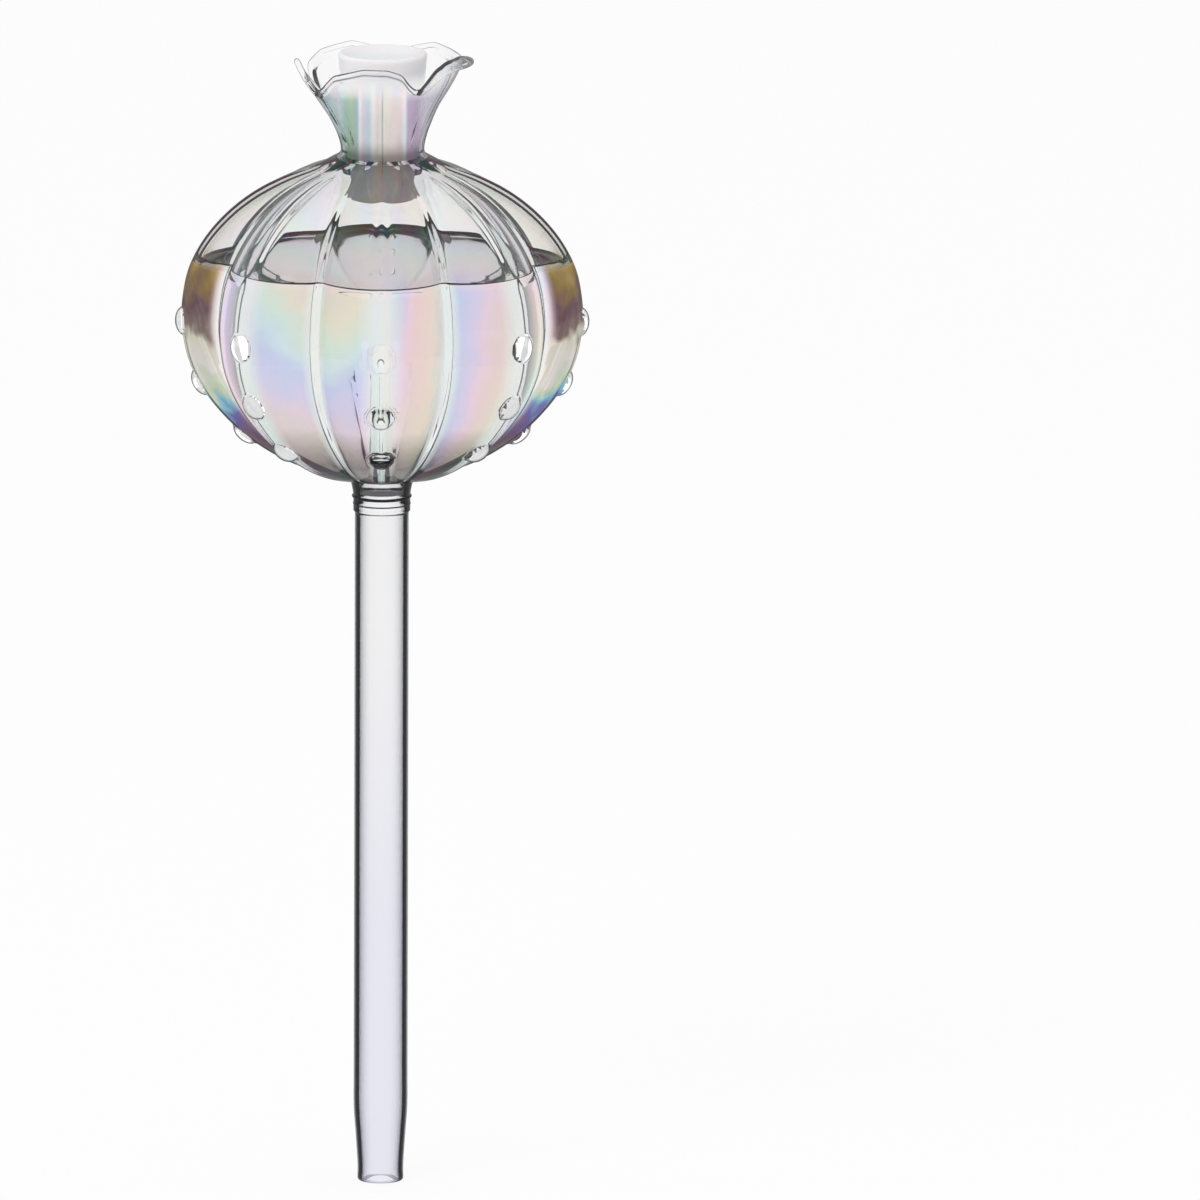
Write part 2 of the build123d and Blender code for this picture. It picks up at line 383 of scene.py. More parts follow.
# %% Draw the rim
# Places on the rim: degrees to the right of the front, radius and height in millimetres,
# and how far the lip curls over. Every second group is a fold, low and narrow.
RIM = (
    (-60, 16.2, 252.6, 0.6),
    (-50, 16.4, 254.2, 0.7),
    (-38, 16.9, 257.2, 0.8),
    (-14, 17.2, 259.2, 0.8),
    (4, 16.8, 259.0, 0.8),
    (15, 16.3, 257.8, 0.9),
    (22, 15.6, 255.2, 1.0),
    (27, 15.3, 254.2, 1.1),
    (33, 15.3, 254.2, 1.2),
    (39, 15.8, 256.0, 1.4),
    (47, 16.5, 258.6, 1.8),
    (57, 16.9, 259.9, 2.2),
    (76, 17.1, 260.0, 2.4),
    (95, 17.6, 258.8, 1.7),
    (104, 18.2, 257.4, 0.6),
    (114, 18.4, 258.6, 0.3),
    (142, 18.6, 260.0, 0.2),
    (160, 17.6, 258.6, 0.2),
    (171, 15.6, 253.8, 0.3),
    (182, 17.4, 258.2, 0.2),
    (202, 18.6, 259.8, 0.2),
    (228, 18.7, 258.7, 0.2),
    (244, 18.2, 256.5, 0.3),
    (255, 15.4, 251.8, 0.4),
    (263, 18.2, 255.8, 0.3),
    (272, 19.6, 259.4, 0.2),
    (284, 18.0, 256.0, 0.3),
)

RIM_EASING = 31
from_front = np.degrees(thetas) + 90
rim_points = np.array(RIM)
rim_points[:, 0] %= 360
rim_points = rim_points[np.argsort(rim_points[:, 0])]


def round_the_rim(column):
    """One measure of the rim in every direction, eased between its stated places."""
    places = np.r_[rim_points[-2:, 0] - 360, rim_points[:, 0], rim_points[:2, 0] + 360]
    values = np.r_[rim_points[-2:, column], rim_points[:, column], rim_points[:2, column]]
    fine = np.interp(np.arange(-20, 380, 0.25), places, values)
    window = np.hanning(RIM_EASING)
    eased = np.convolve(fine, window / window.sum(), "same")
    return np.interp(from_front % 360, np.arange(-20, 380, 0.25), eased)


rim_radius = round_the_rim(1) * MM
rim_height = round_the_rim(2) * MM
rim_curl = round_the_rim(3)
print("rim from", round(rim_height.min() / MM, 1), "to", round(rim_height.max() / MM, 1), "mm")

# %% Walls from the throat to the rim
PETAL_TOP = 259.8 * MM
FOLD_DROP = 7.2 * MM
PETAL_FLARE = ((0.05, 0.14), (0.19, 0.30), (0.40, 0.49), (0.70, 0.71), (0.88, 0.86), (1.00, 1.00))
FOLD_FLARE = ((0.05, 0.12), (0.17, 0.26), (0.36, 0.47), (0.62, 0.70), (0.83, 0.88), (1.00, 1.00))
MOUTH_ROWS = 84
LEAST_CURL = 0.25
# The trails run on up the neck as low ridges, this many degrees wide on each side
NECK_RIDGE = 0.35 * MM
NECK_RIDGE_HALF_WIDTH = 4.5
NECK_RIDGE_TOP = 250 * MM
NECK_RIDGE_FADES_OVER = 12 * MM
NECK_RIDGE_GROWS_OVER = 5 * MM
# The rim's bead dies away over this many rows
BEAD_ROWS = 3.5


def curled_lip(line, turn):
    """Carry a line on round an arc that bends outwards and down, by a turn in radians."""
    run, rise = line[-1][0] - line[-2][0], line[-1][1] - line[-2][1]
    heading = math.atan2(rise, run)
    points = []
    for part in np.linspace(0, 1, 7)[1:]:
        now = heading - turn * part
        points.append(
            (
                line[-1][0] + LIP_RADIUS * (math.sin(heading) - math.sin(now)),
                line[-1][1] + LIP_RADIUS * (math.cos(now) - math.cos(heading)),
            )
        )
    return points


def mouth_line(radius, height, curl):
    """The outer face's line from the seam to the rim, on a petal, in a fold or between."""
    fold = min(1, max(0, (PETAL_TOP - height) / FOLD_DROP))
    reach = radius - THROAT_RADIUS
    rise = height - LIP_RISE - (SEAM + THROAT_HEIGHT)
    line = [(MOUTH_FOOT, SEAM), (THROAT_RADIUS + 0.35 * MM, SEAM + 0.4 * THROAT_HEIGHT)]
    line.append((THROAT_RADIUS, SEAM + THROAT_HEIGHT))
    for petal_point, fold_point in zip(PETAL_FLARE, FOLD_FLARE):
        out = petal_point[0] + (fold_point[0] - petal_point[0]) * fold
        up = petal_point[1] + (fold_point[1] - petal_point[1]) * fold
        line.append((THROAT_RADIUS + reach * out, SEAM + THROAT_HEIGHT + rise * up))
    return smooth_line(line + curled_lip(line, LEAST_CURL + curl), MOUTH_ROWS)


def mouth_section(line, rib):
    """The wall's two faces and the bead at its rim, as one line from seam to seam."""
    normals = line_normals(line)
    to_rim = np.linspace(1, 0, MOUTH_ROWS) * MOUTH_ROWS
    bead = (RIM_BEAD - MOUTH_WALL / 2) * np.exp(-((to_rim / BEAD_ROWS) ** 2))
    middle = line - MOUTH_WALL / 2 * normals
    fade = np.clip((NECK_RIDGE_TOP - line[:, 1]) / NECK_RIDGE_FADES_OVER, 0, 1)
    fade *= np.clip((line[:, 1] - SEAM) / NECK_RIDGE_GROWS_OVER, 0, 1)
    outer = middle + (MOUTH_WALL / 2 + bead + rib * fade)[:, None] * normals
    inner = middle - (MOUTH_WALL / 2 + bead)[:, None] * normals
    inner[:, 0] = np.maximum(inner[:, 0], THROAT_BORE)
    inner[0] = (THROAT_BORE, SEAM)
    outer[0] = (MOUTH_FOOT, SEAM)
    ahead = np.array([-normals[-1][1], normals[-1][0]])
    rim = [
        middle[-1] + RIM_BEAD * (math.cos(a) * normals[-1] + math.sin(a) * ahead)
        for a in np.linspace(0, math.pi, 9)[1:-1]
    ]
    return np.vstack([outer, rim, inner[::-1]])


# %% Wrap the mouth round the axis
mouth_grid = []
half_lobe_degrees = math.degrees(HALF_LOBE)
to_trail = (from_front + half_lobe_degrees) % (2 * half_lobe_degrees) - half_lobe_degrees
ridge = NECK_RIDGE * np.clip(1 - (to_trail / NECK_RIDGE_HALF_WIDTH) ** 2, 0, 1)
for radius, height, curl, rib, angle in zip(rim_radius, rim_height, rim_curl, ridge, thetas):
    out, up = mouth_section(mouth_line(radius, height, curl), rib).T
    mouth_grid.append(np.stack([out * math.cos(angle), out * math.sin(angle), up], 1))
mouth_rows = np.array(mouth_grid).transpose(1, 0, 2)
print("mouth", len(mouth_rows), "rows of", len(thetas))

# %% [markdown]
# ## One vessel
#
# Bulb, mouth, trails and drops are fused on the real globe, and light passes from one to
# the next without meeting a face. So they are one mesh: a single skin that runs up the
# outside, over the rim and down the inside to the stem.

# %% Join the bulb and the mouth
vessel_rows = np.vstack([outer_rows[:-1], mouth_rows[:-1], inner_end])
vessel = grid_piece("blown_glass_vessel", vessel_rows)
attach(vessel, "vessel")
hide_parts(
    "globe_bulb",
    "flower_mouth",
    *[f"spine_trail_{n + 1}" for n in range(LOBES)],
    *[f"spine_drops_{n + 1}" for n in range(LOBES)],
)

# %% [markdown]
# ## Stem, collar and stopper
#
# These are turned shapes, made from a line that is turned round the axis. The stem is
# tube stock with its tip drawn narrower in the flame, and the collar is a gather of glass
# that is melted round its upper end and pressed into two rings. They are fused, so they
# are one mesh. Smooth shading rounds off every corner that it crosses, so each corner of
# the collar gets a second row of points close by, which keeps the corner crisp.

# %% The line of the collar
COLLAR_TOP = collar_high[2] - 0.02 * MM
COLLAR_WAIST = 6.45 * MM
COLLAR_RADIUS = collar_high[0]
COLLAR_RINGS = ((0.24, 0.13 * MM), (0.46, 0.33 * MM))
# How far from a corner the row stands that holds it
SHARP = 0.04 * MM
collar_height = collar_high[2] - collar_low[2]
collar_line = [
    (STEM_BORE, COLLAR_TOP),
    (STEM_BORE + SHARP, COLLAR_TOP),
    (COLLAR_RADIUS - SHARP, COLLAR_TOP),
]
COLLAR_TOP_ROWS = len(collar_line)
collar_levels = np.linspace(0.99, 0.02, 120)
for level in collar_levels:
    bump = sum(
        size * max(0, 1 - ((level - centre) * collar_height / size) ** 2) ** 0.5
        for centre, size in COLLAR_RINGS
    )
    flare = max(0, (level - 0.45) / 0.54) ** 1.6 * (COLLAR_RADIUS - COLLAR_WAIST)
    collar_line.append((COLLAR_WAIST + bump + flare, collar_low[2] + level * collar_height))
collar_line.append((COLLAR_WAIST - 0.2 * MM, collar_low[2]))
collar_line.append((STEM_RADIUS + SHARP, collar_low[2]))
print("collar", round(collar_height / MM, 1), "mm high")

# %% Turn the stem and the collar
TIP_RADIUS = 5.2 * MM
TIP_WALL = 1.15 * MM
TIP_TAPER = (17 * MM, 5 * MM)
stem_outside = smooth_line(
    [
        (STEM_RADIUS, collar_low[2] - 0.4 * MM),
        (STEM_RADIUS, 100 * MM),
        (STEM_RADIUS, 30 * MM),
        (STEM_RADIUS, TIP_TAPER[0] + 1 * MM),
        ((STEM_RADIUS + TIP_RADIUS) / 2, sum(TIP_TAPER) / 2),
        (TIP_RADIUS, TIP_TAPER[1] - 1 * MM),
        (TIP_RADIUS, TIP_WALL / 2),
    ],
    TURNED_ROWS,
)
stem_inside = stem_outside.copy()
stem_inside[:, 0] -= np.interp(stem_inside[:, 1], TIP_TAPER[::-1], (TIP_WALL, STEM_WALL))
tip_turn = [
    (TIP_RADIUS - TIP_WALL / 2 + TIP_WALL / 2 * math.cos(a), TIP_WALL / 2 * (1 - math.sin(a)))
    for a in np.linspace(0, math.pi, 9)[1:-1]
]
stem_loop = np.vstack([collar_line, stem_outside, tip_turn, stem_inside[::-1]])
stem = grid_piece("stem_and_collar_glass", turned(stem_loop))
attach(stem, "vessel")
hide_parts("stem_tube", "stem_collar")

# %% [markdown]
# The stopper is a taper plug of white silicone rubber with a dished top. Its side is
# straight, and a smooth line would swing past a straight part that ends in a tight round,
# so points are set along the side as well.

# %% Turn the stopper
STOPPER_TOP_RADIUS = 10.1 * MM
STOPPER_BASE_RADIUS = 7.1 * MM
stopper_side = [
    (
        STOPPER_BASE_RADIUS + share * (STOPPER_TOP_RADIUS - STOPPER_BASE_RADIUS),
        stopper_low[2] + share * (stopper_high[2] - stopper_low[2]),
    )
    for share in (0.04, 0.08, 0.16, 0.3, 0.5, 0.7, 0.84, 0.92, 0.955)
]
stopper_line = smooth_line(
    [
        (0.2 * MM, stopper_low[2]),
        (STOPPER_BASE_RADIUS - 0.8 * MM, stopper_low[2]),
        (STOPPER_BASE_RADIUS - 0.1 * MM, stopper_low[2] + 0.15 * MM),
        (STOPPER_BASE_RADIUS + 0.05 * MM, stopper_low[2] + 0.7 * MM),
        *stopper_side,
        (STOPPER_TOP_RADIUS - 0.05 * MM, stopper_high[2] - 0.8 * MM),
        (STOPPER_TOP_RADIUS - 0.25 * MM, stopper_high[2] - 0.1 * MM),
        (STOPPER_TOP_RADIUS - 0.9 * MM, stopper_high[2]),
        (STOPPER_TOP_RADIUS - 2.2 * MM, stopper_high[2] - 0.5 * MM),
        (5 * MM, stopper_high[2] - 1.3 * MM),
        (0.2 * MM, stopper_high[2] - 1.6 * MM),
    ],
    TURNED_ROWS,
)
stopper = grid_piece("silicone_stopper", turned(stopper_line), loop_rows=False)
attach(stopper, "stopper")
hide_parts("stopper")

# %% [markdown]
# ## Water
#
# Water that only touched the inner face would leave two faces in one place. The usual
# remedy is to let it reach a little into the glass: a ray then enters glass, enters
# water and leaves glass, and comes out bent exactly as it should be. Water climbs a
# clean glass wall by about a millimetre, so the surface has a turned-up edge.

# %% The water against the wall
WATER_LEVEL = 212.4 * MM
WATER_INTO_GLASS = 0.35 * MM
WATER_SUNK = 0.2 * MM
# Radius and height, in millimetres, of the water's end in the bulb's foot
WATER_FOOT = ((1, 158.6), (3, 158.6), (4.6, 158.8), (STEM_BORE / MM + 0.3, 159.4))
MENISCUS = 1.3 * MM
# In millimetres from the wall: how fast the turned-up edge falls, and the surface's rows
MENISCUS_REACH = 0.9
SURFACE_INSETS = (-0.35, 0.0, 0.25, 0.6, 1.0, 1.6, 2.4, 3.6, 6, 10, 16, 24, 32)
heights = inner_rows[:, :, 2].mean(1)
body_rows = [row for row, height in zip(inner_rows, heights) if height < WATER_LEVEL - 1.0 * MM]
body = []
for row in body_rows:
    radius = np.hypot(row[:, 0], row[:, 1])
    grow = (radius + WATER_INTO_GLASS) / radius
    body.append(np.stack([row[:, 0] * grow, row[:, 1] * grow, row[:, 2] - WATER_SUNK], 1))
print("water touches", len(body), "rows of the wall")

# %% The water's surface and foot
i = int(np.searchsorted(heights, WATER_LEVEL))
top = inner_rows[i - 1] + (inner_rows[i] - inner_rows[i - 1]) * (
    (WATER_LEVEL - heights[i - 1]) / (heights[i] - heights[i - 1])
)
surface = []
for inset in SURFACE_INSETS:
    radius = np.hypot(top[:, 0], top[:, 1])
    shrink = np.clip(radius - inset * MM, 1 * MM, None) / radius
    lift = MENISCUS * math.exp(-max(inset, 0) / MENISCUS_REACH)
    level = np.full(len(top), WATER_LEVEL + lift)
    surface.append(np.stack([top[:, 0] * shrink, top[:, 1] * shrink, level], 1))
foot = []
for radius, height in WATER_FOOT:
    foot.append(ring(radius * MM, height * MM)[0])
foot.append(ring(STEM_BORE + 0.3 * MM, GLOBE_BASE + 0.8 * MM)[0])
water = grid_piece("water", np.array(foot + body + surface), loop_rows=False)
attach(water, "vessel")

# %% [markdown]
# ## Materials
#
# Each material is a small tree of nodes. Its colours are written as a paint program shows
# them and turned to linear light by one function, and one more function adds a node,
# whatever its kind, with its settings and its links.

# %% Small helpers for materials


def srgb(hex_colour):
    """A linear colour from the hex value that a paint program shows."""
    channels = [int(hex_colour[i : i + 2], 16) / 255 for i in (1, 3, 5)]
    return [c / 12.92 if c <= 0.04045 else ((c + 0.055) / 1.055) ** 2.4 for c in channels] + [1]


def add_node(owner, kind, settings=None, sockets=None):
    """Add a node, set its properties, and fill its sockets with values or links."""
    node = owner.node_tree.nodes.new(kind)
    for name, value in (settings or {}).items():
        setattr(node, name, value)
    for name, value in (sockets or {}).items():
        if isinstance(value, bpy.types.NodeSocket):
            owner.node_tree.links.new(value, node.inputs[name])
        else:
            node.inputs[name].default_value = value
    return node


def set_stops(node, stops):
    """Give a colour ramp its places and hex colours."""
    elements = node.color_ramp.elements
    while len(elements) > 1:
        elements.remove(elements[-1])
    elements[0].position = stops[0][0]
    elements[0].color = srgb(stops[0][1])
    for place, colour in stops[1:]:
        elements.new(place).color = srgb(colour)
    return node.outputs["Color"]


def new_material(name):
    """An empty material, ready for its nodes."""
    material = bpy.data.materials.new(name)
    material.use_nodes = True
    material.node_tree.nodes.clear()
    return material


# %% [markdown]
# ## What all the glass has in common
#
# Borosilicate glass bends light by 1.47 and is as smooth as a flame leaves it, so its
# roughness is nothing. A clear wall shows only where light is thrown aside: at its edges,
# where one looks along it. The renderer does that by itself, and the tints below add
# painted shade there, as strong as a studio's dark cards would make it. Such a tint works
# only where light enters from outside, so that a wall isn't tinted twice.
#
# Drops and rim have a lower IOR than the real 1.47: they are small and strongly curved,
# and would turn the whole room over in a few pixels, which reads as noise.

# %% Close a glass material
GLASS_IOR = 1.47
LAID_IOR = 1.2
RIM_IOR = 1.12
WATER_IOR = 1.333


def finish_glass(material, tint, ior=GLASS_IOR, painted_glow=None, **film):
    """Close a glass material. Its colour is squared, because one face shows its root."""
    if isinstance(tint, bpy.types.NodeSocket):
        square = add_node(
            material,
            "ShaderNodeVectorMath",
            {"operation": "MULTIPLY"},
            {0: tint, 1: tint},
        )
        tint = square.outputs[0]
    sockets = {"Base Color": tint, "Roughness": 0.0, "IOR": ior, "Transmission Weight": 1.0}
    sockets.update({name.replace("_", " "): value for name, value in film.items()})
    shader = add_node(material, "ShaderNodeBsdfPrincipled", None, sockets)
    # Painted light: an emission of the given colour, mixed in by the given share, glows of its own
    if painted_glow is not None:
        share, colour = painted_glow
        painted_light = add_node(material, "ShaderNodeEmission", None, {"Color": colour})
        sockets = {0: share, 1: shader.outputs[0], 2: painted_light.outputs[0]}
        shader = add_node(material, "ShaderNodeMixShader", None, sockets)
    add_node(material, "ShaderNodeOutputMaterial", None, {"Surface": shader.outputs[0]})
    print("material", material.name)


# %% How a face stands to the eye


def round_normal(material):
    """The normal of a round body about the axis, whatever the lobes of the real one do."""
    place = add_node(material, "ShaderNodeTexCoord").outputs["Object"]
    sockets = {0: place, 1: (1, 1, 0)}
    level = add_node(material, "ShaderNodeVectorMath", {"operation": "MULTIPLY"}, sockets)
    out = add_node(
        material,
        "ShaderNodeVectorMath",
        {"operation": "NORMALIZE"},
        {0: level.outputs[0]},
    )
    return out.outputs[0]


def painted_edge_shade(material, stops):
    """A painted shade, from the outside only, by how squarely a face is seen: it rounds the glass."""
    facing = add_node(material, "ShaderNodeLayerWeight", None, {"Blend": 0.5})
    ramp = add_node(material, "ShaderNodeValToRGB", None, {0: facing.outputs["Facing"]})
    from_inside = add_node(material, "ShaderNodeNewGeometry").outputs["Backfacing"]
    sockets = {0: from_inside, 6: set_stops(ramp, stops), 7: srgb("#ffffff")}
    return add_node(material, "ShaderNodeMix", {"data_type": "RGBA"}, sockets).outputs[2]


# %% [markdown]
# ## Clear glass: stem, collar and inner faces
#
# Tube stock is drawn, not blown, so it is even and colourless, with a dark line where the
# eye looks along the wall; that line and the greying towards it are painted shade. A
# little of the lustre spray reached the lower stem and leaves the faintest lilac. The
# collar is thick and solid, so its flanks go dark further in, and each pressed ring is a
# dark thread: both are painted shade as well.

# %% Drawn borosilicate glass of the stem
clear_glass = new_material("clear_borosilicate_glass")
# Painted shade: the tube greys towards its edges
tube_edge_shade = painted_edge_shade(
    clear_glass,
    (
        (0.00, "#ffffff"),
        (0.10, "#fcfcfd"),
        (0.18, "#f3f3f5"),
        (0.27, "#e2e2e5"),
        (0.36, "#c8c8cc"),
        (1.00, "#c8c8cc"),
    ),
)
# Light that the bore threw back inside the wall leaves it dark: that is the tube's line, painted shade in
# the tint
from_within = add_node(clear_glass, "ShaderNodeLayerWeight", None, {"Blend": 0.5}).outputs["Facing"]
wall_line_shade = set_stops(
    add_node(clear_glass, "ShaderNodeValToRGB", None, {0: from_within}),
    (
        (0.150, "#9a9aa0"),
        (0.175, "#101013"),
        (0.232, "#101013"),
        (0.246, "#dadade"),
        (1.000, "#f0f0f2"),
    ),
)
thrown_back = add_node(
    clear_glass,
    "ShaderNodeMath",
    {"operation": "GREATER_THAN"},
    {0: add_node(clear_glass, "ShaderNodeLightPath").outputs["Glossy Depth"], 1: 0.5},
)
leaving = add_node(
    clear_glass,
    "ShaderNodeMath",
    {"operation": "MULTIPLY"},
    {
        0: thrown_back.outputs[0],
        1: add_node(clear_glass, "ShaderNodeNewGeometry").outputs["Backfacing"],
    },
)
tube_line_shade = add_node(
    clear_glass,
    "ShaderNodeMix",
    {"data_type": "RGBA"},
    {0: leaving.outputs[0], 6: tube_edge_shade, 7: wall_line_shade},
).outputs[2]
stem_height = add_node(
    clear_glass,
    "ShaderNodeMapRange",
    None,
    {
        "Value": add_node(
            clear_glass,
            "ShaderNodeSeparateXYZ",
            None,
            {0: add_node(clear_glass, "ShaderNodeTexCoord").outputs["Object"]},
        ).outputs["Z"],
        "From Min": 60 * MM,
        "From Max": 125 * MM,
    },
)
stem_spray = set_stops(
    add_node(clear_glass, "ShaderNodeValToRGB", None, {0: stem_height.outputs[0]}),
    ((0.0, "#fafaff"), (1.0, "#ffffff")),
)
# The line along the edge is painted shade in the tint, so the gloss is held low beside it
stem_tint = add_node(
    clear_glass,
    "ShaderNodeMix",
    {"data_type": "RGBA", "blend_type": "MULTIPLY"},
    {0: 1.0, 6: tube_line_shade, 7: stem_spray},
)
finish_glass(clear_glass, stem_tint.outputs[2], Specular_IOR_Level=0.1)

# %% Melted borosilicate glass of the collar
collar_glass = new_material("collar_borosilicate_glass")
# Painted shade: the collar's flanks go near black where they are seen aslant
finish_glass(
    collar_glass,
    painted_edge_shade(
        collar_glass,
        (
            (0.00, "#ffffff"),
            (0.25, "#f2f2f4"),
            (0.36, "#c4c4c8"),
            (0.42, "#141416"),
            (0.80, "#141416"),
            (1.00, "#5c5c60"),
        ),
    ),
)
# Painted shade: each pressed ring is tinted near black all round
pressed_ring_shade_glass = new_material("painted_shade_of_the_pressed_ring")
finish_glass(pressed_ring_shade_glass, painted_edge_shade(pressed_ring_shade_glass, ((0.0, "#26262a"), (1.0, "#161618"))))

# %% Bare borosilicate glass of the inner faces
# Nothing is sprayed on the inside, so it has no colour: it only bends the light
inner_glass = new_material("bare_borosilicate_glass")
finish_glass(inner_glass, srgb("#ffffff"))

# %% [markdown]
# ## Laid-on glass and the rim
#
# A drop of glass is a strong lens. On white it looks white inside, with a thin grey line
# round it, and where it sits on the coloured side of the bulb it shines out of it. So the
# drops get a painted glow, a little light of their own, there, on the faces that look
# outwards only, and their grey line is painted shade. The rim was melted round in the
# flame, and shows as one soft dark line, which is painted shade too.

# %% Pressed borosilicate glass of the drops
laid_glass = new_material("laid_on_glass")
# Painted light: the drops glow white of their own, on their outer faces, more on the bulb's sides and
# towards each drop's middle
drop_facing = add_node(laid_glass, "ShaderNodeLayerWeight", None, {"Blend": 0.5})
drop_inside = add_node(laid_glass, "ShaderNodeNewGeometry").outputs["Backfacing"]
drop_slant = add_node(
    laid_glass, "ShaderNodeLayerWeight", None, {"Blend": 0.5, "Normal": round_normal(laid_glass)}
).outputs["Facing"]
drop_side = add_node(
    laid_glass,
    "ShaderNodeMapRange",
    None,
    {"Value": drop_slant, "From Min": 0.1, "From Max": 0.25, "To Max": 0.6},
)
full_painted_light = add_node(
    laid_glass,
    "ShaderNodeMath",
    {"operation": "MULTIPLY"},
    {0: drop_side.outputs[0], 1: drop_inside},
)
full_painted_light = add_node(
    laid_glass,
    "ShaderNodeMath",
    {"operation": "SUBTRACT"},
    {0: drop_side.outputs[0], 1: full_painted_light.outputs[0]},
)
painted_light = add_node(
    laid_glass,
    "ShaderNodeMapRange",
    {"interpolation_type": "SMOOTHSTEP"},
    {
        "Value": drop_facing.outputs["Facing"],
        "From Min": 0.42,
        "From Max": 0.74,
        "To Min": full_painted_light.outputs[0],
        "To Max": 0.0,
    },
)
finish_glass(
    laid_glass,
    painted_edge_shade(
        laid_glass,
        ((0.0, "#ffffff"), (0.60, "#fafafa"), (0.74, "#a8a8ac"), (0.86, "#4a4a4e"), (1.0, "#6c6c70")),
    ),
    LAID_IOR,
    Emission_Color=srgb("#ffffff"),
    Emission_Strength=painted_light.outputs[0],
)

# %% Fire-polished borosilicate glass of the rim
# Painted shade for the rim's soft dark line, and painted light: a faint white glow of its own, 7 % of the
# shader
rim_glass = new_material("fire_polished_rim_glass")
finish_glass(
    rim_glass,
    painted_edge_shade(
        rim_glass,
        ((0.0, "#ffffff"), (0.46, "#f4f4f6"), (0.62, "#acacb0"), (0.76, "#6e6e72"), (1.0, "#7c7c80")),
    ),
    RIM_IOR,
    (0.07, srgb("#ffffff")),
)

# %% [markdown]
# ## Lustre glass
#
# The lustre is a film of metal oxide, a few hundred nanometres thick, that is sprayed on
# the hot bulb. Its thickness drifts over the surface, so its colour does too: pale where
# one looks straight through it, deep and metallic at the side. A real thin film, with its
# thickness in nanometres, makes the gloss. The colour of the light that comes through is
# drawn with two ramps, pale and deep, that follow the same drift, because a thin film
# alone is too faint on clear glass to be seen against white. The deep ramp, laid on by
# slant, is partly the film's colour and partly painted sheen, and the sides also get a
# painted glow of their own.

# %% Lustre glass: how thick the film is
lustre_glass = new_material("lustre_borosilicate_glass")
place = add_node(lustre_glass, "ShaderNodeTexCoord").outputs["Object"]
split = add_node(lustre_glass, "ShaderNodeSeparateXYZ", None, {0: place}).outputs
front = add_node(
    lustre_glass,
    "ShaderNodeMath",
    {"operation": "MULTIPLY"},
    {0: split["Y"], 1: -1.0},
)
turn = add_node(
    lustre_glass, "ShaderNodeMath", {"operation": "ARCTAN2"}, {0: split["X"], 1: front.outputs[0]}
)
fall = add_node(
    lustre_glass,
    "ShaderNodeMapRange",
    {"clamp": False},
    {"Value": split["Z"], "From Min": 215 * MM, "From Max": 163 * MM},
)
drift = add_node(
    lustre_glass, "ShaderNodeTexNoise", None, {"Vector": place, "Scale": 24.0, "Detail": 2.0}
)


def wave(times, shift, size, rest):
    """A wave round the axis: rest + size * sin(times * angle + shift)."""
    angle = add_node(
        lustre_glass,
        "ShaderNodeMath",
        {"operation": "MULTIPLY_ADD"},
        {0: turn.outputs[0], 1: times, 2: math.radians(shift)},
    )
    sine = add_node(lustre_glass, "ShaderNodeMath", {"operation": "SINE"}, {0: angle.outputs[0]})
    return add_node(
        lustre_glass,
        "ShaderNodeMath",
        {"operation": "MULTIPLY_ADD"},
        {0: sine.outputs[0], 1: size, 2: rest},
    ).outputs[0]


sloped = add_node(
    lustre_glass,
    "ShaderNodeMath",
    {"operation": "MULTIPLY_ADD"},
    {0: wave(4.0, 0.0, -0.6, 0.75), 1: fall.outputs[0], 2: wave(2.0, -30.0, 0.85, 0.66)},
)
bent = add_node(
    lustre_glass, "ShaderNodeMath", None, {0: sloped.outputs[0], 1: wave(4.0, -44.0, 0.25, 0.0)}
)
grain = add_node(
    lustre_glass, "ShaderNodeTexNoise", None, {"Vector": place, "Scale": 130.0, "Detail": 2.0}
)
grained = add_node(
    lustre_glass,
    "ShaderNodeMath",
    {"operation": "MULTIPLY_ADD"},
    {0: grain.outputs[0], 1: 0.22, 2: bent.outputs[0]},
)
phase = add_node(
    lustre_glass,
    "ShaderNodeMath",
    {"operation": "MULTIPLY_ADD"},
    {0: drift.outputs[0], 1: 0.3, 2: grained.outputs[0]},
)
cycle = add_node(lustre_glass, "ShaderNodeMath", {"operation": "FRACT"}, {0: phase.outputs[0]})
print("the film's phase has three waves and two sizes of mottling")

# %% Lustre glass: its pale colours
pale = set_stops(
    add_node(lustre_glass, "ShaderNodeValToRGB", None, {0: cycle.outputs[0]}),
    (
        (0.00, "#fbe8e2"),
        (0.14, "#f8f0e0"),
        (0.28, "#e8f8ea"),
        (0.40, "#e4f5fb"),
        (0.52, "#dcdfff"),
        (0.64, "#ecdfff"),
        (0.76, "#fce0f2"),
        (0.88, "#fbe2e4"),
        (1.00, "#fbe8e2"),
    ),
)

# %% Lustre glass: its deep colours at the side, partly painted sheen
uneven = add_node(
    lustre_glass,
    "ShaderNodeMath",
    {"operation": "MULTIPLY_ADD"},
    {0: grain.outputs[0], 1: 0.36, 2: fall.outputs[0]},
)
deep_place = add_node(
    lustre_glass,
    "ShaderNodeMath",
    {"operation": "SUBTRACT"},
    {0: uneven.outputs[0], 1: 0.17},
)
deep = set_stops(
    add_node(lustre_glass, "ShaderNodeValToRGB", None, {0: deep_place.outputs[0]}),
    (
        (0.00, "#b59a62"),
        (0.11, "#8e774b"),
        (0.21, "#70565f"),
        (0.31, "#8d7a74"),
        (0.38, "#e6e2cf"),
        (0.52, "#f2ebe6"),
        (0.59, "#d3e2c4"),
        (0.65, "#94cbdc"),
        (0.72, "#7a72b8"),
        (0.81, "#a07a92"),
        (0.91, "#b4acae"),
        (1.00, "#c8c4c4"),
    ),
)
